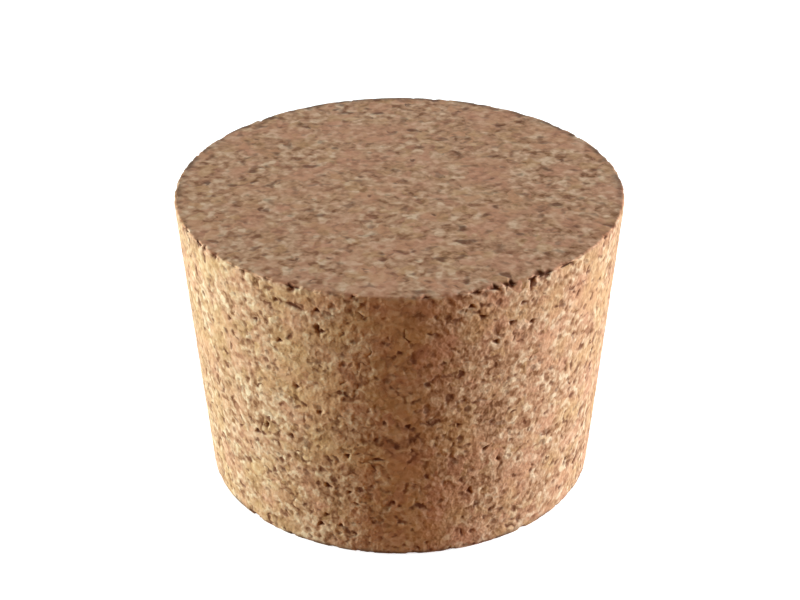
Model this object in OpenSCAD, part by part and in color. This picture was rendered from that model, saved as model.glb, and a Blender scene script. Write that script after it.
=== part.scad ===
// Tapered cork stopper: one solid of pressed cork granules, standing on its narrow face.
// Lengths are in millimetres. The origin is the middle of the narrow face, and +Z is up.

/* [Body] */
// Diameter of the wide face, measured to the sharp corner that its edge rounds off
top_d = 60; // [40:0.5:90]
// Diameter of the narrow face, measured to the sharp corner that its edge rounds off
base_d = 53; // [34:0.5:84]
// Height from the narrow face to the wide face
height = 41; // [20:0.5:80]

/* [Edges] */
// Radius of the rounded edge round the wide face
top_edge_r = 0.4; // [0.2:0.1:2]
// Radius of the rounded edge round the narrow face
base_edge_r = 0.6; // [0.2:0.1:2]

/* [Hidden] */
$fn = 180;

top_r = top_d / 2;
base_r = base_d / 2;
cork_color = "#b98a66";

// Lean of the side away from the axis, in degrees
lean = atan((top_r - base_r) / height);

// How far each rounded edge reaches from its sharp corner, along the face and along the side
top_reach = top_edge_r / tan((90 - lean) / 2);
base_reach = base_edge_r / tan((90 + lean) / 2);

// Half of the stopper's section, with each sharp corner cut off where its rounded edge begins
module cut_section() {
    polygon([
        [0, 0],
        [base_r - base_reach, 0],
        [base_r + base_reach * sin(lean), base_reach * cos(lean)],
        [top_r - top_reach * sin(lean), height - top_reach * cos(lean)],
        [top_r - top_reach, height],
        [0, height],
    ]);
}

// The two circles that round the cut corners, each tangent to its face and to the side
module edge_circles() {
    translate([base_r - base_reach, base_edge_r]) circle(r = base_edge_r);
    translate([top_r - top_reach, height - top_edge_r]) circle(r = top_edge_r);
}

module stopper() {
    color(cork_color)
        rotate_extrude() {
            cut_section();
            edge_circles();
        }
}

stopper();
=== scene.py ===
"""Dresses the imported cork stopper: pressed granules, open pits and chipped rims, lit from both sides."""

import math
from types import SimpleNamespace

import bpy
import numpy as np
from mathutils import Matrix, Vector


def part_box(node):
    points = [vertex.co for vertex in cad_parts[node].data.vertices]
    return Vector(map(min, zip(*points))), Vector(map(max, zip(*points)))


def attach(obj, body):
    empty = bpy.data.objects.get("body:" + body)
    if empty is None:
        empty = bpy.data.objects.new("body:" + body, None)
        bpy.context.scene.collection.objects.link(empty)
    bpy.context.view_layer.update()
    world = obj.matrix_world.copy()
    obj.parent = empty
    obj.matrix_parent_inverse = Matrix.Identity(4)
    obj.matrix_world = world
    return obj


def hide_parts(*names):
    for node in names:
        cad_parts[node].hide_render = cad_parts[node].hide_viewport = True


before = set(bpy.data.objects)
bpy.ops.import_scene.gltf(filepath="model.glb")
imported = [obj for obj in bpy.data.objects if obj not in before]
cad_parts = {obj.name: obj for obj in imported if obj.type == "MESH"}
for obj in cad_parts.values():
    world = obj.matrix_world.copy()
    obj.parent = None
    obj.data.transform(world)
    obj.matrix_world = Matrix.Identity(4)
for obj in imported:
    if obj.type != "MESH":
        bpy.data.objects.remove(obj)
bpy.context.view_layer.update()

MM = 0.001
FULL_TURN = 2 * math.pi

# The solid that the cork skin replaces, its height in millimetres and its widest radius in metres
NODE = "stopper"
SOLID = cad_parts[NODE]
LOW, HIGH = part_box(NODE)
HEIGHT_MM = (HIGH.z - LOW.z) / MM
WIDE_R = HIGH.x

# Points of the solid lie on one ring where they agree to this many decimals of a metre
RING_DECIMALS = 6
# The fine grid that is pressed into cork, and the triangles that are kept of it
GRID_PITCH = 0.14 * MM
KEPT_TRIANGLES = 192_000

# Cork is measured in millimetres, in its colours too, and a noise is known by its wave length.
# A pair of shares says where in a noise's range a mark begins and where it is full.
# Half is the middle of a noise's range, of a chance and of the tones.
HALF_SHARE = 0.5
# Granules: their width, and the wave length and size of the two bends in their borders
GRANULE = 1.7
WIDE_BEND = (1.2, 0.45)
FINE_BEND = (0.45, 0.13)
# The seam between granules, and the slit where it lies open: half widths at its lip and at its floor
SEAM_HALF_WIDTH = 0.15
SLIT_HALF_WIDTHS = (0.26, 0.078)
OPEN_SLIT_SHARES = (0.65, 0.74)
# Dark dots, and flecks that are lighter or duller than their granule
MARK = 0.95
DOT_SHARES = (0.61, 0.84)
LIGHT_SHARES = (0.54, 0.68)
DULL_SHARES = (0.54, 0.68)
# Dots gather in some patches and leave others smooth
PATCH = 2.4
PATCH_PULL_SHARE = 0.45
# Round dark spots in the side, in some cells of this size: the chance of a cell sets its spot's radius,
# and a spot's edge runs from a little outside that radius to well inside it
SPOT = 1.7
SPOT_CHANCE_SHARES = (0.4, 1.0)
SPOT_RADII = (-0.1, 0.56)
SPOT_EDGE = (0.08, -0.3)
# Strokes in the side along the middle line of a noise, cut short by a second noise
STROKE = 1.7
STROKE_HALF_SHARES = (0.1, 0.02)
STROKE_CUT_SHARES = (0.64, 0.76)
STROKE_SHIFT = (31.0, 17.0, 53.0)
# The grain, the part of a grain's range that counts, and a finer grain that has no depth
GRAIN = 1.4
GRAIN_SHARES = (0.2, 0.8)
FINE_GRAIN = 0.7
# Depth of the pits and of the grain
PIT_DEPTH = 0.1
GRAIN_DEPTH = 0.06
# The two ends are ground flat: the band at the rim where the side turns into an end, the factor by which
# marks are wider on an end, and the share of their depth that is left there
END_BAND = 0.35
END_STRETCH = 1.55
END_DEPTH_SHARE = 0.3
# Crumbled places along the rims: how far from the rim they end and are full, and their depth
CRUMBLE = 1.5
CRUMBLE_SHARES = (0.5, 0.72)
CRUMBLE_REACHES = (0.6, 0.06)
CRUMBLE_DEPTH = 0.12

# Bands of painted shade along the rims: how far past the rim each begins, is full, starts to fade and ends.
# Past the rim is over the end, and below zero is down the side.
# The wide rim's band: painted shade along the back edge of the top
WIDE_RIM_SHADE_BAND = (-0.2, -0.05, 0.65, 1.0)
# The narrow rim's band: a painted contact shadow along the foot
FOOT_SHADOW_BAND = (-0.7, -0.4, 0.1, 0.3)
RIM_SHADE_SHARES = (0.0, 1.0, 1.0, 0.0)
# The wide rim's band of painted shade lies only where the rim faces away from the camera, by the cosine of
# its azimuth
BACK_COSINES = (-0.15, 0.35)
BACK_SHARES = (1.0, 0.0)

# Chips out of the wide rim: azimuth in degrees from the camera, then half width, reach down the side,
# reach over the end and depth in millimetres
WIDE_RIM_CHIPS = (
    (-66, 0.5, 0.6, 0.4, 0.30),
    (-59, 0.9, 0.8, 0.5, 0.40),
    (-56, 0.5, 1.0, 0.5, 0.40),
    (-51.5, 0.8, 1.0, 0.6, 0.45),
    (-44, 1.1, 0.3, 0.8, 0.18),
    (-40.5, 0.5, 0.9, 0.3, 0.30),
    (-33, 0.8, 0.4, 0.5, 0.20),
    (-26, 1.3, 0.9, 0.6, 0.50),
    (-11, 0.5, 0.6, 0.3, 0.25),
    (6, 0.7, 0.5, 0.4, 0.25),
    (18, 0.8, 0.8, 0.5, 0.45),
    (23, 0.9, 0.6, 1.2, 0.50),
    (27, 1.1, 0.6, 1.4, 0.60),
    (33, 0.7, 1.8, 0.5, 0.50),
    (36.5, 1.4, 0.6, 1.6, 0.60),
    (44, 1.4, 0.4, 0.7, 0.40),
    (62, 0.8, 0.7, 0.5, 0.40),
    (88, 0.7, 0.8, 0.4, 0.30),
    (123, 0.9, 0.7, 0.6, 0.40),
    (150, 0.6, 0.6, 0.4, 0.30),
    (171, 1.0, 0.8, 0.5, 0.35),
    (194, 0.7, 1.1, 0.4, 0.40),
    (222, 0.8, 0.6, 0.6, 0.35),
    (249, 0.6, 0.7, 0.4, 0.30),
    (274, 0.9, 0.9, 0.4, 0.35),
)
NARROW_RIM_CHIPS = (
    (-48, 1.2, 1.0, 0.6, 0.50),
    (-33, 0.6, 0.7, 0.4, 0.35),
    (-12, 0.7, 0.5, 0.4, 0.30),
    (14, 0.6, 0.8, 0.4, 0.35),
    (38, 0.8, 0.6, 0.5, 0.35),
    (71, 0.9, 0.8, 0.5, 0.40),
    (112, 0.7, 0.6, 0.4, 0.30),
    (163, 1.0, 0.9, 0.6, 0.45),
    (207, 0.6, 0.6, 0.4, 0.30),
    (243, 0.8, 0.8, 0.5, 0.40),
    (281, 0.7, 0.6, 0.4, 0.30),
)

# Large pits in the side: azimuth in degrees, height, half width, half height, tilt in degrees and depth.
# The far side, half a turn on, has them too, upside down.
SIDE_PITS = (
    (-63, 14.5, 0.5, 0.5, 0, 0.30),
    (-48, 32.2, 0.5, 0.6, 0, 0.30),
    (-42, 15.8, 0.7, 0.6, 20, 0.40),
    (-38, 34.1, 0.6, 0.5, 0, 0.35),
    (-38, 17.7, 0.35, 0.9, -10, 0.35),
    (-31, 38.2, 0.6, 0.5, 0, 0.30),
    (-31, 32.1, 0.6, 0.5, 30, 0.35),
    (-30, 17.3, 0.5, 0.7, 30, 0.30),
    (-27, 25.6, 0.6, 0.5, 0, 0.30),
    (-26, 38.0, 1.9, 0.4, -14, 0.40),
    (-23, 3.8, 0.7, 0.5, 40, 0.40),
    (-21, 22.4, 0.5, 0.5, 0, 0.30),
    (-21, 5.6, 0.6, 0.5, 0, 0.30),
    (-20, 38.0, 0.6, 0.5, 0, 0.40),
    (-20, 35.2, 0.35, 1.3, 8, 0.30),
    (-20, 10.6, 0.8, 0.5, -30, 0.45),
    (-19, 35.0, 0.6, 0.5, 0, 0.35),
    (-17, 4.2, 0.6, 0.5, 0, 0.30),
    (-14, 16.1, 0.5, 0.5, 0, 0.35),
    (-14, 10.1, 0.5, 0.4, 0, 0.30),
    (-6, 15.9, 1.5, 0.4, 0, 0.30),
    (-2, 8.9, 0.5, 0.4, 0, 0.30),
    (2, 21.3, 0.6, 0.5, 10, 0.40),
    (15, 20.9, 0.5, 0.5, 0, 0.30),
    (17, 38.8, 0.6, 0.5, 0, 0.35),
    (19, 9.8, 0.5, 0.8, 15, 0.35),
    (20, 37.0, 0.9, 0.4, -20, 0.35),
    (23, 16.3, 1.0, 0.35, 35, 0.30),
    (24, 32.8, 0.8, 0.5, -30, 0.35),
    (27, 14.0, 0.4, 0.7, 20, 0.30),
    (28, 35.1, 0.6, 0.5, 0, 0.40),
    (31, 37.6, 0.8, 0.5, 0, 0.30),
    (34, 34.3, 0.5, 0.5, 0, 0.35),
    (50, 35.2, 1.1, 0.35, 50, 0.35),
    (54, 3.2, 0.6, 0.5, 0, 0.30),
    (55, 7.7, 0.6, 0.6, 0, 0.35),
    (61, 5.7, 0.6, 0.8, 0, 0.40),
)
HALF_TURN_DEGREES = 180
# A pit reaches no farther than this many of its larger half sizes
PIT_REACH = 2

# Waves in the outline of a chip or pit: size as a share of its radius, count, and turn from one to the next
CHIP_WAVES = (
    (0.28, 3, 1.0),
    (0.18, 5, 2.3),
)
PIT_WAVES = (
    (0.25, 3, 1.7),
)

# Sockets of a Mix node that mixes colours
MIX_FACTOR, MIX_FIRST, MIX_SECOND = 0, 6, 7
MIX_RESULT = 2


def srgb(red, green, blue):
    """A colour as seen on screen, 0 to 255, as the linear values that shaders take, by the sRGB curve."""
    parts = []
    for level in (red, green, blue):
        share = level / 255
        parts.append(share / 12.92 if share <= 0.04045 else ((share + 0.055) / 1.055) ** 2.4)
    return (*parts, 1.0)


class Graph:
    """Adds nodes to a tree and joins them, so that a formula reads as a few calls."""

    def __init__(self, tree):
        self.tree = tree

    def add(self, kind, inputs=(), **settings):
        """A new node, with each input joined to a socket or set to a value."""
        node = self.tree.nodes.new(kind)
        for name, value in settings.items():
            setattr(node, name, value)
        for key, value in dict(inputs).items():
            if isinstance(value, bpy.types.NodeSocket):
                self.tree.links.new(value, node.inputs[key])
            else:
                node.inputs[key].default_value = value
        return node

    def math(self, operation, *values):
        return self.add("ShaderNodeMath", enumerate(values), operation=operation).outputs[0]

    def vector(self, operation, *values):
        return self.add("ShaderNodeVectorMath", enumerate(values), operation=operation).outputs[0]

    def scaled(self, vector, factor):
        return self.add("ShaderNodeVectorMath", {0: vector, "Scale": factor}, operation="SCALE").outputs[0]

    def parts(self, vector):
        return self.add("ShaderNodeSeparateXYZ", {"Vector": vector}).outputs

    def fade(self, value, start, end, low=0.0, high=1.0):
        """Goes smoothly from low to high as value goes from start to end."""
        inputs = {"Value": value, "From Min": start, "From Max": end, "To Min": low, "To Max": high}
        node = self.add("ShaderNodeMapRange", inputs, interpolation_type="SMOOTHSTEP")
        return node.outputs["Result"]

    def between(self, share, low, high):
        """Goes smoothly from low to high as a share goes from 0 to 1."""
        return self.fade(share, 0.0, 1.0, low, high)

    def noise(self, place, length, detail=0.0):
        return self.add("ShaderNodeTexNoise", {"Vector": place, "Scale": 1 / length, "Detail": detail})

    def bent(self, place, length, size):
        """Moves a place by a smooth noise of this wave length, by about this size at most."""
        push = self.vector("SUBTRACT", self.noise(place, length).outputs["Color"], (HALF_SHARE,) * 3)
        return self.vector("ADD", place, self.scaled(push, size / HALF_SHARE))

    def cells(self, place, size, feature="F1"):
        return self.add("ShaderNodeTexVoronoi", {"Vector": place, "Scale": 1 / size}, feature=feature)

    def blend(self, share, first, second, mode="MIX"):
        """Mixes two colours."""
        inputs = {MIX_FACTOR: share, MIX_FIRST: first, MIX_SECOND: second}
        return self.add("ShaderNodeMix", inputs, data_type="RGBA", blend_type=mode).outputs[MIX_RESULT]


def end_share(graph, place):
    """1 on the two flat ends, 0 on the side."""
    z = graph.parts(place)[2]
    on_top = graph.fade(z, HEIGHT_MM - END_BAND, HEIGHT_MM)
    on_base = graph.fade(z, END_BAND, 0.0)
    return graph.math("MAXIMUM", on_top, on_base)


def rim_crumble(graph, place, past_rim):
    """Where the rims have crumbled, 0 to 1."""
    near = graph.fade(graph.math("ABSOLUTE", past_rim), *CRUMBLE_REACHES)
    lost = graph.fade(graph.noise(place, CRUMBLE, detail=1.0).outputs["Fac"], *CRUMBLE_SHARES)
    return graph.math("MULTIPLY", near, lost)


def round_spots(graph, place):
    """Where a cell of the cork holds a round dark spot, 0 to 1."""
    cells = graph.cells(place, SPOT)
    chance = graph.parts(cells.outputs["Color"])[0]
    radius = graph.fade(chance, *SPOT_CHANCE_SHARES, *SPOT_RADII)
    outside = graph.math("SUBTRACT", graph.math("MULTIPLY", cells.outputs["Distance"], SPOT), radius)
    return graph.fade(outside, *SPOT_EDGE)


def short_strokes(graph, place):
    """Where a short dark stroke runs, 0 to 1."""
    shifted = graph.vector("ADD", place, STROKE_SHIFT)
    waves = graph.parts(graph.noise(shifted, STROKE).outputs["Color"])
    off_line = graph.math("ABSOLUTE", graph.math("SUBTRACT", waves[0], HALF_SHARE))
    line = graph.fade(off_line, *STROKE_HALF_SHARES)
    return graph.math("MULTIPLY", line, graph.fade(waves[1], *STROKE_CUT_SHARES))


def cork_field(graph, place):
    """The cork at a place: its granule's random colour, and its seam, pit, light, dull and grain, 0 to 1."""
    nudged = graph.bent(place, *FINE_BEND)
    bent = graph.bent(graph.bent(place, *WIDE_BEND), *FINE_BEND)
    granule = graph.cells(bent, GRANULE).outputs["Color"]
    border = graph.cells(bent, GRANULE, "DISTANCE_TO_EDGE").outputs["Distance"]
    border_mm = graph.math("MULTIPLY", border, GRANULE)
    seam = graph.fade(border_mm, SEAM_HALF_WIDTH, 0.0)
    patch = graph.noise(place, PATCH, detail=1.0).outputs["Fac"]
    opened = graph.fade(patch, *OPEN_SLIT_SHARES)
    slit = graph.math("MULTIPLY", graph.fade(border_mm, *SLIT_HALF_WIDTHS), opened)

    on_end = graph.math("GREATER_THAN", end_share(graph, place), HALF_SHARE)
    on_side = graph.math("SUBTRACT", 1.0, on_end)
    shrink = graph.math("SUBTRACT", 1.0, graph.math("MULTIPLY", on_end, 1 - 1 / END_STRETCH))
    marks = graph.parts(graph.noise(graph.scaled(nudged, shrink), MARK).outputs["Color"])
    pull = graph.math("MULTIPLY", graph.math("SUBTRACT", patch, HALF_SHARE), PATCH_PULL_SHARE)
    dot = graph.fade(graph.math("ADD", marks[0], pull), *DOT_SHARES)
    side_mark = graph.math("MAXIMUM", short_strokes(graph, bent), round_spots(graph, nudged))
    side_mark = graph.math("MULTIPLY", side_mark, on_side)

    return SimpleNamespace(
        granule=granule,
        seam=seam,
        pit=graph.math("MAXIMUM", graph.math("MAXIMUM", slit, dot), side_mark),
        light=graph.fade(marks[1], *LIGHT_SHARES),
        dull=graph.fade(marks[2], *DULL_SHARES),
        grain=graph.noise(place, GRAIN, detail=1.0).outputs["Fac"],
    )


def solid_profile():
    """Half of the solid's outline, from the base's middle to the top's, as radius and height."""
    corners = np.array([vertex.co for vertex in SOLID.data.vertices])
    rings = np.stack([corners[:, 2], np.hypot(corners[:, 0], corners[:, 1])], axis=1)
    rings = np.unique(np.round(rings, RING_DECIMALS), axis=0)
    rim = rings[:, ::-1]
    return np.vstack([[0.0, rim[0, 1]], rim, [0.0, rim[-1, 1]]])


def fine_outline(profile):
    """The outline again, with a point at each grid pitch and at each of its corners."""
    points = [profile[:1]]
    for start, end in zip(profile[:-1], profile[1:]):
        steps = max(1, math.ceil(np.hypot(*(end - start)) / GRID_PITCH))
        shares = np.arange(1, steps + 1)[:, None] / steps
        points.append(start + (end - start) * shares)
    return np.vstack(points)


def wrapped(angle):
    """The same angle, between half a turn back and half a turn on."""
    return (angle + math.pi) % FULL_TURN - math.pi


def hollow(across, along, deepest, waves, number):
    """The depth of a hollow with a soft, ragged lip, by the distance from its middle in radii."""
    around = np.arctan2(along, across)
    lip = 1.0
    for size_share, count, turn in waves:
        lip = lip + size_share * np.sin(count * around + turn * number)
    inside = np.clip(1 - np.hypot(across, along) / lip, 0.0, 1.0)
    return deepest * inside ** 2 * (3 - 2 * inside)


def chip_depth(chips, azimuth, radius, from_rim, toward_end):
    """How deep the chips of one rim reach, in millimetres, by azimuth and by the travel from the rim. The end
    lies on the plus side of the rim where toward_end is 1, and on the minus side where it is -1."""
    depth = np.zeros(azimuth.shape)
    on_end = from_rim * toward_end > 0
    for number, (angle, half_width, down_side, over_end, deepest) in enumerate(chips):
        across = wrapped(azimuth - math.radians(angle)) * radius / half_width
        along = from_rim / np.where(on_end, over_end, down_side)
        depth = np.maximum(depth, hollow(across, along, deepest, CHIP_WAVES, number))
    return depth


def side_pit_depth(azimuth, radius, height):
    """How deep the large pits of the side reach, in millimetres."""
    depth = np.zeros(np.broadcast_shapes(azimuth.shape, radius.shape))
    for number, (angle, level, half_width, half_height, tilt, deepest) in enumerate(SIDE_PITS):
        lean = math.radians(tilt)
        for turn, middle in ((angle, level), (angle + HALF_TURN_DEGREES, HEIGHT_MM - level)):
            rows = np.abs(height[:, 0] - middle) < PIT_REACH * max(half_width, half_height)
            across = wrapped(azimuth - math.radians(turn)) * radius[rows]
            up = height[rows] - middle
            along = (across * math.cos(lean) + up * math.sin(lean)) / half_width
            over = (up * math.cos(lean) - across * math.sin(lean)) / half_height
            depth[rows] = np.maximum(depth[rows], hollow(along, over, deepest, PIT_WAVES, number))
    return depth


def put_attribute(mesh, name, values):
    """Keeps a number at each point of the mesh."""
    attribute = mesh.attributes.new(name, "FLOAT", "POINT")
    attribute.data.foreach_set("value", np.ascontiguousarray(values, dtype=np.float32))


def chip_rims(mesh, outline):
    """Keeps at each point the depth of its chip or large pit, its distance past the nearer rim, the painted
    shade of that rim's band, and its travel along the outline."""
    steps = np.hypot(*np.diff(outline, axis=0).T)
    travel = np.concatenate([[0.0], np.cumsum(steps)]) / MM
    ring_travel = travel[1:-1]
    radius, height = outline[1:-1].T / MM
    narrow_rim = ring_travel[np.argmax(radius - height)]
    wide_rim = ring_travel[np.argmax(radius + height)]
    columns = (len(mesh.vertices) - 2) // len(radius)
    azimuth = (np.arange(columns) * FULL_TURN / columns + math.pi / 2)[None, :]
    middles = [0.0, 0.0]

    wide = chip_depth(WIDE_RIM_CHIPS, azimuth, radius[:, None], ring_travel[:, None] - wide_rim, 1)
    narrow = chip_depth(NARROW_RIM_CHIPS, azimuth, radius[:, None], ring_travel[:, None] - narrow_rim, -1)
    pits = side_pit_depth(azimuth, radius[:, None], height[:, None])
    pits[(ring_travel < narrow_rim) | (ring_travel > wide_rim)] = 0.0
    chips = np.maximum(np.maximum(wide, narrow), pits)
    put_attribute(mesh, "chip", np.concatenate([chips.ravel(), middles]))

    upper = ring_travel > (narrow_rim + wide_rim) / 2
    past = np.where(upper, ring_travel - wide_rim, narrow_rim - ring_travel)
    past_middles = [narrow_rim, travel[-1] - wide_rim]
    put_attribute(mesh, "past_rim", np.concatenate([np.repeat(past, columns), past_middles]))

    # Painted shade: along the back edge of the wide rim, and a contact shadow at the foot along the narrow
    # rim
    wide_rim_shade = np.where(upper, np.interp(past, WIDE_RIM_SHADE_BAND, RIM_SHADE_SHARES), 0.0)
    foot_shadow = np.where(upper, 0.0, np.interp(past, FOOT_SHADOW_BAND, RIM_SHADE_SHARES))
    at_back = np.interp(np.cos(azimuth), BACK_COSINES, BACK_SHARES)
    painted_rim_shade = wide_rim_shade[:, None] * at_back + foot_shadow[:, None]
    put_attribute(mesh, "painted_rim_shade", np.concatenate([painted_rim_shade.ravel(), middles]))
    put_attribute(mesh, "travel", np.concatenate([np.repeat(ring_travel, columns), travel[[0, -1]]]))


def turned_mesh(outline):
    """Turns the outline round the axis as one closed mesh."""
    columns = math.ceil(FULL_TURN * WIDE_R / GRID_PITCH)
    angles = np.arange(columns) * FULL_TURN / columns
    radius, height = outline[1:-1].T
    rings = np.empty((len(radius), columns, 3))
    rings[..., 0] = radius[:, None] * np.cos(angles)
    rings[..., 1] = radius[:, None] * np.sin(angles)
    rings[..., 2] = height[:, None]
    base_middle = np.array([[0.0, 0.0, outline[0, 1]]])
    top_middle = np.array([[0.0, 0.0, outline[-1, 1]]])
    points = np.vstack([rings.reshape(-1, 3), base_middle, top_middle])

    here = np.arange(columns)
    after = np.roll(here, -1)
    first = np.arange(len(radius) - 1)[:, None] * columns
    quads = np.stack([first + here, first + after, first + columns + after, first + columns + here], axis=-1)
    last = (len(radius) - 1) * columns
    base_index = len(points) - 2
    top_index = len(points) - 1
    base_fan = np.stack([after, here, np.full(columns, base_index)], axis=1)
    top_fan = np.stack([last + here, last + after, np.full(columns, top_index)], axis=1)

    mesh = bpy.data.meshes.new("stopper_cork")
    faces = quads.reshape(-1, 4).tolist() + base_fan.tolist() + top_fan.tolist()
    mesh.from_pydata(points, [], faces)
    return mesh


def keep_vector(graph, geometry, name, value):
    """Keeps a vector at each point of the geometry."""
    inputs = {"Geometry": geometry, "Name": name, "Value": value}
    node = graph.add("GeometryNodeStoreNamedAttribute", inputs, data_type="FLOAT_VECTOR", domain="POINT")
    return node.outputs[0]


def kept_number(graph, name):
    """A number that put_attribute kept, in a tree that changes the mesh."""
    return graph.add("GeometryNodeInputNamedAttribute", {"Name": name}, data_type="FLOAT").outputs[0]


def press_granules(piece):
    """Sinks pits, grain, chips and crumbled rims into the fine grid. Each point keeps its smooth place for
    the colours and its sunk normal for the shading."""
    tree = bpy.data.node_groups.new("press_granules", "GeometryNodeTree")
    tree.interface.new_socket("Geometry", in_out="INPUT", socket_type="NodeSocketGeometry")
    tree.interface.new_socket("Geometry", in_out="OUTPUT", socket_type="NodeSocketGeometry")
    graph = Graph(tree)
    source = graph.add("NodeGroupInput").outputs[0]
    place = graph.scaled(graph.add("GeometryNodeInputPosition").outputs[0], 1 / MM)
    smooth = keep_vector(graph, source, "smooth_place", place)

    cork = cork_field(graph, place)
    depth = graph.math("MULTIPLY", cork.pit, PIT_DEPTH)
    depth = graph.math("ADD", depth, graph.fade(cork.grain, *GRAIN_SHARES, GRAIN_DEPTH, 0.0))
    left = graph.between(end_share(graph, place), 1.0, END_DEPTH_SHARE)
    depth = graph.math("ADD", graph.math("MULTIPLY", depth, left), kept_number(graph, "chip"))
    crumble = rim_crumble(graph, place, kept_number(graph, "past_rim"))
    depth = graph.math("ADD", depth, graph.math("MULTIPLY", crumble, CRUMBLE_DEPTH))

    inward = graph.scaled(graph.add("GeometryNodeInputNormal").outputs[0], -1.0)
    offset = graph.scaled(inward, graph.math("MULTIPLY", depth, MM))
    sunk = graph.add("GeometryNodeSetPosition", {"Geometry": smooth, "Offset": offset}).outputs[0]
    normal = graph.add("GeometryNodeInputNormal").outputs[0]
    graph.add("NodeGroupOutput", {0: keep_vector(graph, sunk, "skin_normal", normal)})
    piece.modifiers.new("press_granules", "NODES").node_group = tree


def thin_out(piece):
    """Keeps the triangles that the pits need and joins the rest."""
    triangles = sum(len(polygon.vertices) - 2 for polygon in piece.data.polygons)
    modifier = piece.modifiers.new("thin_out", "DECIMATE")
    modifier.ratio = KEPT_TRIANGLES / triangles
    modifier.use_collapse_triangulate = True


def apply_modifiers(piece):
    """Gives the piece its pressed and thinned mesh, shaded by the normals of the fine grid."""
    graph = bpy.context.evaluated_depsgraph_get()
    mesh = bpy.data.meshes.new_from_object(piece.evaluated_get(graph))
    piece.modifiers.clear()
    piece.data = mesh
    mesh.shade_smooth()
    normals = np.empty(len(mesh.vertices) * 3, dtype=np.float32)
    mesh.attributes["skin_normal"].data.foreach_get("vector", normals)
    normals = normals.reshape(-1, 3)
    normals /= np.linalg.norm(normals, axis=1, keepdims=True)
    mesh.normals_split_custom_set_from_vertices(normals)


# The flat map for baked textures, in millimetres: the gap between its parts and the square that holds them.
# The side is cut into three strips, and the first cut is at this azimuth in degrees from +X.
MAP_GAP = 1.4
MAP_SQUARE = 130.0
STRIPS = 3
FIRST_CUT = 90.0


def map_for_bake(mesh):
    """Lays the two ends and the side's strips flat, at one scale, in a UV map named OFBake, for baked
    textures.
    """
    count = len(mesh.vertices)
    place = np.empty(count * 3, dtype=np.float32)
    mesh.attributes["smooth_place"].data.foreach_get("vector", place)
    place = place.reshape(-1, 3).astype(float)
    travel = np.empty(count, dtype=np.float32)
    mesh.attributes["travel"].data.foreach_get("value", travel)
    travel = travel.astype(float)
    angle = np.arctan2(place[:, 1], place[:, 0])

    corners = np.empty(len(mesh.loops), dtype=np.int32)
    mesh.loops.foreach_get("vertex_index", corners)
    triangles = corners.reshape(-1, 3)
    middle = place[triangles].mean(axis=1)
    on_top = middle[:, 2] > HEIGHT_MM - END_BAND
    on_base = middle[:, 2] < END_BAND

    # The ends keep their distance from the middle, measured along the outline
    wide_r = WIDE_R / MM
    spots = np.zeros((len(triangles), 3, 2))
    disc = np.stack([np.cos(angle), np.sin(angle)], axis=1)
    top_middle = np.array([MAP_GAP + wide_r, MAP_GAP + wide_r])
    spots[on_top] = (top_middle + disc * (travel.max() - travel)[:, None])[triangles[on_top]]
    base_middle = top_middle + [0.0, 2 * wide_r + MAP_GAP]
    spots[on_base] = (base_middle + disc * travel[:, None])[triangles[on_base]]

    # The side is rolled out at its mean radius, strip above strip
    side = ~(on_top | on_base)
    side_r = np.hypot(place[:, 0], place[:, 1])[triangles[side]].mean()
    strip_turn = FULL_TURN / STRIPS
    middle_angle = np.arctan2(middle[side, 1], middle[side, 0])
    strip = np.floor((middle_angle - math.radians(FIRST_CUT)) % FULL_TURN / strip_turn)
    strip_middle = math.radians(FIRST_CUT) + (strip + HALF_SHARE) * strip_turn
    turn = wrapped(angle[triangles[side]] - strip_middle[:, None])
    across = 2 * wide_r + 2 * MAP_GAP + (turn + strip_turn / 2) * side_r
    up = MAP_GAP + strip[:, None] * (HEIGHT_MM + MAP_GAP) + place[triangles[side], 2]
    spots[side] = np.stack([across, up], axis=-1)

    layer = mesh.uv_layers.new(name="OFBake")
    layer.uv.foreach_set("vector", (spots / MAP_SQUARE).ravel().astype(np.float32))


# Tones of cork, from the darkest to the lightest
TONES = (
    (0.00, srgb(126, 84, 54)),
    (0.30, srgb(172, 130, 97)),
    (0.50, srgb(190, 150, 118)),
    (0.70, srgb(205, 170, 138)),
    (1.00, srgb(225, 199, 167)),
)
# How far each part of the cork moves the tone, on the side and on the ends
GRANULE_TONE = 0.38
END_GRANULE_TONE = 0.24
LIGHT_TONE = 0.38
END_LIGHT_TONE = 0.28
DULL_TONE = 0.3
GRAIN_TONE = 0.2
FINE_TONE = 0.2

# Yellower and pinker granules, and wider patches of the same hues
YELLOW_CORK = srgb(200, 160, 112)
PINK_CORK = srgb(204, 150, 120)
HUE_CHANCE_SHARES = (0.6, 1.0)
HUE_PATCH = 5.0
HUE_PATCH_SHARES = (0.5, 0.7)
HUE_SHARE = 0.4
END_YELLOW_SHARE = 0.1
# The ends, cut across the granules, are a little redder
END_TINT = (1.18, 1.03, 1.01, 1.0)

# Seams, and painted shade along the rims' bands and in crumbled hollows
SEAM_COLOR = srgb(138, 96, 66)
SEAM_COLOR_SHARE = 0.05
RIM_SHADE_COLOR = srgb(92, 66, 48)
RIM_SHADE_PATCH = 2.6
RIM_SHADE_PATCH_SHARES = (0.38, 0.55)
RIM_SHADE_COLOR_SHARES = (0.25, 0.85)
CRUMBLE_SHADE_SHARE = 0.5
# Pits are partly dark cork and partly painted shade, and chips and large pits get painted shade that grows
# between these depths in millimetres. Some pits are fainter.
PIT_DARK_AND_SHADE_COLOR = srgb(94, 46, 20)
PIT_DARK_AND_SHADE_SHARE = 0.92
END_PIT_DARK_AND_SHADE_SHARE = 0.8
FAINT_PATCH = 1.3
FAINT_PATCH_SHARES = (0.4, 0.65)
FAINT_PIT_SHARE = 0.55
CHIP_SHADE_DEPTHS = (0.02, 0.25)
CHIP_SHADE_SHARE = 0.95

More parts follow.
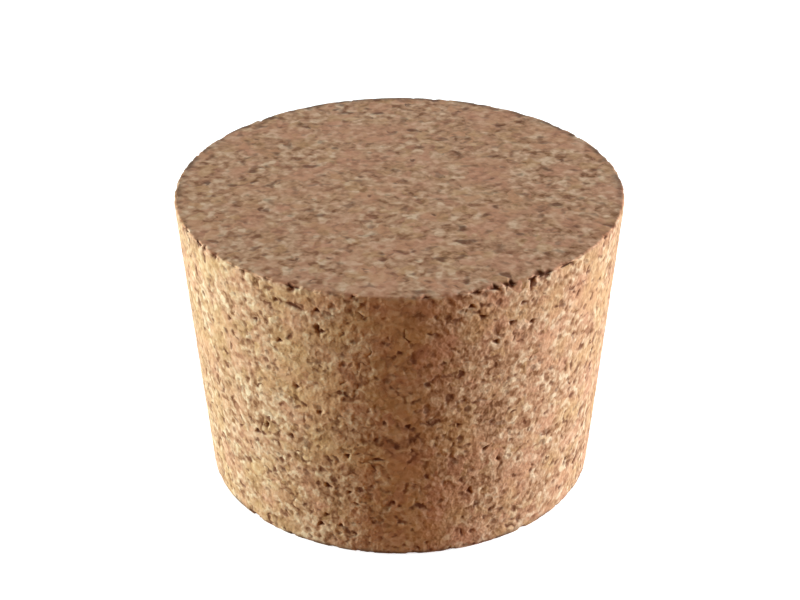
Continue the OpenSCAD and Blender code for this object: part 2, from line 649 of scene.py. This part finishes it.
# The finest relief, which is bump alone, and the sheen of dry cork
FINE_BUMP_SHARE = 0.5
SEAM_BUMP_SHARE = 0.015
BUMP_STRENGTH = 0.9
BUMP_DISTANCE = 0.35 * MM
ROUGHNESS_SHARES = (0.62, 0.8)
SPECULAR = 0.14
SHEEN = 0.04
SHEEN_ROUGHNESS = 0.4


def shown_number(graph, name):
    """A number that put_attribute kept, in a material."""
    return graph.add("ShaderNodeAttribute", attribute_name=name).outputs["Fac"]


def cork_tone(graph, cork, fine, end):
    """How light the cork is, from 0 for the darkest tone to 1 for the lightest."""
    chance = graph.parts(cork.granule)[0]
    spread = graph.between(end, GRANULE_TONE, END_GRANULE_TONE)
    tone = graph.math("MULTIPLY", graph.math("SUBTRACT", chance, HALF_SHARE), spread)
    tone = graph.math("ADD", tone, HALF_SHARE)
    tone = graph.math("ADD", tone, graph.fade(cork.grain, *GRAIN_SHARES, -GRAIN_TONE, GRAIN_TONE))
    lift = graph.between(end, LIGHT_TONE, END_LIGHT_TONE)
    tone = graph.math("ADD", tone, graph.math("MULTIPLY", cork.light, lift))
    tone = graph.math("SUBTRACT", tone, graph.math("MULTIPLY", cork.dull, DULL_TONE))
    return graph.math("ADD", tone, graph.fade(fine, *GRAIN_SHARES, -FINE_TONE, FINE_TONE))


def tone_color(graph, tone):
    """The colour of a tone."""
    ramp = graph.add("ShaderNodeValToRGB", {"Fac": tone})
    elements = ramp.color_ramp.elements
    while len(elements) < len(TONES):
        elements.new(1.0)
    for element, (position, color) in zip(elements, TONES):
        element.position = position
        element.color = color
    return ramp.outputs["Color"]


def tinted(graph, color, cork, place, end):
    """The colour with yellower and pinker granules and patches, and with redder ends."""
    chances = graph.parts(cork.granule)
    for chance, hue in ((chances[1], YELLOW_CORK), (chances[2], PINK_CORK)):
        color = graph.blend(graph.fade(chance, *HUE_CHANCE_SHARES, 0.0, HUE_SHARE), color, hue)
    patches = graph.parts(graph.noise(place, HUE_PATCH).outputs["Color"])
    color = graph.blend(graph.fade(patches[0], *HUE_PATCH_SHARES, 0.0, HUE_SHARE), color, PINK_CORK)
    most = graph.between(end, HUE_SHARE, END_YELLOW_SHARE)
    yellow = graph.math("MULTIPLY", graph.fade(patches[1], *HUE_PATCH_SHARES), most)
    color = graph.blend(yellow, color, YELLOW_CORK)
    return graph.blend(end, color, END_TINT, "MULTIPLY")


def darkened(graph, color, cork, place, end):
    """The colour with its seams, with painted shade along the rims and in crumbled places and chips, and with
    its pits, which are partly dark cork and partly painted shade.
    """
    color = graph.blend(graph.math("MULTIPLY", cork.seam, SEAM_COLOR_SHARE), color, SEAM_COLOR)
    # Painted shade along the rims' bands and in crumbled hollows
    patch = graph.noise(place, RIM_SHADE_PATCH).outputs["Fac"]
    rim_and_crumble_shade = graph.fade(patch, *RIM_SHADE_PATCH_SHARES, *RIM_SHADE_COLOR_SHARES)
    rim_and_crumble_shade = graph.math("MULTIPLY", shown_number(graph, "painted_rim_shade"), rim_and_crumble_shade)
    crumble = rim_crumble(graph, place, shown_number(graph, "past_rim"))
    rim_and_crumble_shade = graph.math("MAXIMUM", rim_and_crumble_shade, graph.math("MULTIPLY", crumble, CRUMBLE_SHADE_SHARE))
    color = graph.blend(rim_and_crumble_shade, color, RIM_SHADE_COLOR)

    # Pits: partly dark cork, partly painted shade. Chips and large pits: painted shade that grows with depth
    patch = graph.noise(place, FAINT_PATCH).outputs["Fac"]
    faint = graph.fade(patch, *FAINT_PATCH_SHARES, FAINT_PIT_SHARE, 1.0)
    dark = graph.math("MULTIPLY", graph.between(end, PIT_DARK_AND_SHADE_SHARE, END_PIT_DARK_AND_SHADE_SHARE), faint)
    pitted = graph.math("MULTIPLY", cork.pit, dark)
    chip_shade = graph.fade(shown_number(graph, "chip"), *CHIP_SHADE_DEPTHS, 0.0, CHIP_SHADE_SHARE)
    return graph.blend(graph.math("MAXIMUM", pitted, chip_shade), color, PIT_DARK_AND_SHADE_COLOR)


def cork_material():
    """Pressed cork: granules of many tans, pits that are partly dark cork and partly painted shade, painted
    shade along the rims and in chips, and a fine grain over all.
    """
    material = bpy.data.materials.new("pressed_cork")
    material.use_nodes = True
    material.node_tree.nodes.clear()
    graph = Graph(material.node_tree)
    place = graph.add("ShaderNodeAttribute", attribute_name="smooth_place").outputs["Vector"]
    cork = cork_field(graph, place)
    fine = graph.noise(place, FINE_GRAIN, detail=1.0).outputs["Fac"]
    end = end_share(graph, place)
    color = tone_color(graph, cork_tone(graph, cork, fine, end))
    color = tinted(graph, color, cork, place, end)
    color = darkened(graph, color, cork, place, end)

    raised = graph.math("MULTIPLY", fine, FINE_BUMP_SHARE)
    height = graph.math("SUBTRACT", raised, graph.math("MULTIPLY", cork.seam, SEAM_BUMP_SHARE))
    inputs = {"Height": height, "Strength": BUMP_STRENGTH, "Distance": BUMP_DISTANCE}
    bump = graph.add("ShaderNodeBump", inputs)
    shader = graph.add("ShaderNodeBsdfPrincipled", {
        "Base Color": color,
        "Roughness": graph.fade(cork.grain, *GRAIN_SHARES, *ROUGHNESS_SHARES),
        "Normal": bump.outputs[0],
        "Specular IOR Level": SPECULAR,
        "Sheen Weight": SHEEN,
        "Sheen Roughness": SHEEN_ROUGHNESS,
    })
    graph.add("ShaderNodeOutputMaterial", {"Surface": shader.outputs[0]})
    return material


def make_stopper():
    """The cork skin, in place of the solid."""
    outline = fine_outline(solid_profile())
    mesh = turned_mesh(outline)
    chip_rims(mesh, outline)
    piece = bpy.data.objects.new("stopper_cork", mesh)
    bpy.context.scene.collection.objects.link(piece)
    press_granules(piece)
    thin_out(piece)
    apply_modifiers(piece)
    map_for_bake(piece.data)
    piece.data.materials.clear()
    piece.data.materials.append(cork_material())
    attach(piece, "root")
    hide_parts(NODE)


WHITE = (1.0, 1.0, 1.0, 1.0)


def white_where_seen(graph, seen, unseen):
    """One shader for the camera, mirrors and glass, and another for the light that bounces."""
    path = graph.add("ShaderNodeLightPath")
    direct = graph.math("MAXIMUM", path.outputs["Is Camera Ray"], path.outputs["Is Glossy Ray"])
    direct = graph.math("MAXIMUM", direct, path.outputs["Is Transmission Ray"])
    return graph.add("ShaderNodeMixShader", {0: direct, 1: unseen, 2: seen}).outputs[0]


# The floor: its size in metres, its look, and the warm colour of the light that it throws back
FLOOR_SIZE = 6.0
FLOOR_GLOW = 0.8
FLOOR_WHITE = (0.8, 0.8, 0.8, 1.0)
FLOOR_BOUNCE = (0.45, 0.2, 0.032, 1.0)


def make_floor():
    """A white floor under the stopper."""
    half = FLOOR_SIZE / 2
    mesh = bpy.data.meshes.new("floor")
    corners = [(-half, -half, LOW.z), (half, -half, LOW.z), (half, half, LOW.z), (-half, half, LOW.z)]
    mesh.from_pydata(corners, [], [(0, 1, 2, 3)])
    floor = bpy.data.objects.new("floor", mesh)
    bpy.context.scene.collection.objects.link(floor)
    material = bpy.data.materials.new("white_floor")
    material.use_nodes = True
    material.node_tree.nodes.clear()
    graph = Graph(material.node_tree)
    glow = graph.add("ShaderNodeEmission", {"Color": WHITE, "Strength": FLOOR_GLOW}).outputs[0]
    lit = graph.add("ShaderNodeBsdfDiffuse", {"Color": FLOOR_WHITE}).outputs[0]
    seen = graph.add("ShaderNodeAddShader", {0: glow, 1: lit}).outputs[0]
    bounce = graph.add("ShaderNodeBsdfDiffuse", {"Color": FLOOR_BOUNCE}).outputs[0]
    graph.add("ShaderNodeOutputMaterial", {"Surface": white_where_seen(graph, seen, bounce)})
    mesh.materials.append(material)


WORLD_COLOR = (1.0, 0.8, 0.65, 1.0)
WORLD_STRENGTH = 0.01


def make_world():
    """A white room that lights the stopper only faintly."""
    world = bpy.data.worlds.new("soft_room")
    world.use_nodes = True
    world.node_tree.nodes.clear()
    graph = Graph(world.node_tree)
    seen = graph.add("ShaderNodeBackground", {"Color": WHITE, "Strength": 1.0}).outputs[0]
    unseen = graph.add("ShaderNodeBackground", {"Color": WORLD_COLOR, "Strength": WORLD_STRENGTH}).outputs[0]
    graph.add("ShaderNodeOutputWorld", {"Surface": white_where_seen(graph, seen, unseen)})
    bpy.context.scene.world = world


# Softboxes: distance, width and height in metres, then azimuth from the camera and elevation in degrees,
# power in watts and colour. A pair lights the sides, and a weak warm one fills the front.
BOX_DISTANCE = 0.7
BOX_SIZE = (0.4, 0.5)
SIDE_AZIMUTH = 92.3
SIDE_ELEVATION = 3.0
LEFT_POWER = 17.0
LEFT_COLOR = (0.82, 1.0, 0.99)
RIGHT_POWER = 16.4
RIGHT_COLOR = (0.86, 0.95, 1.0)
FILL_AZIMUTH = 0.0
FILL_ELEVATION = 2.0
FILL_POWER = 0.66
FILL_COLOR = (1.0, 0.28, 0.1)

# Camera, fitted to the photo's outline: picture width and lens, place from the axis, tilt and roll,
# and the nearest thing that it sees, in metres
IMAGE_W_PX = 800
FOCAL_PX = 2017.5
SENSOR_W = 36.0
EYE_DISTANCE = 277.73 * MM
EYE_ELEVATION = math.radians(29.39)
AIM = Vector((0.02 * MM, 0.0, 23.75 * MM))
ROLL = math.radians(-0.227)
NEAREST = 0.01


def make_softbox(name, azimuth, elevation, power, color):
    """An area light that looks at the stopper. Azimuth 0 is the camera's side, and 90 is the right."""
    around = math.radians(azimuth)
    up = math.radians(elevation)
    away = Vector((math.sin(around) * math.cos(up), -math.cos(around) * math.cos(up), math.sin(up)))
    data = bpy.data.lights.new(name, "AREA")
    data.shape = "RECTANGLE"
    data.size, data.size_y = BOX_SIZE
    data.energy = power
    data.color = color
    light = bpy.data.objects.new(name, data)
    light.location = AIM + away * BOX_DISTANCE
    light.rotation_euler = away.to_track_quat("Z", "Y").to_euler()
    bpy.context.scene.collection.objects.link(light)


def make_lights():
    make_softbox("left_softbox", -SIDE_AZIMUTH, SIDE_ELEVATION, LEFT_POWER, LEFT_COLOR)
    make_softbox("right_softbox", SIDE_AZIMUTH, SIDE_ELEVATION, RIGHT_POWER, RIGHT_COLOR)
    make_softbox("front_fill", FILL_AZIMUTH, FILL_ELEVATION, FILL_POWER, FILL_COLOR)


def make_camera():
    data = bpy.data.cameras.new("camera")
    data.sensor_width = SENSOR_W
    data.lens = FOCAL_PX * SENSOR_W / IMAGE_W_PX
    data.clip_start = NEAREST
    camera = bpy.data.objects.new("camera", data)
    away = Vector((0.0, -math.cos(EYE_ELEVATION), math.sin(EYE_ELEVATION)))
    turn = away.to_track_quat("Z", "Y").to_matrix() @ Matrix.Rotation(ROLL, 3, "Z")
    camera.matrix_world = Matrix.Translation(AIM + away * EYE_DISTANCE) @ turn.to_4x4()
    bpy.context.scene.collection.objects.link(camera)
    bpy.context.scene.camera = camera


make_stopper()
make_floor()
make_world()
make_lights()
make_camera()
bpy.context.scene.view_settings.view_transform = "Standard"
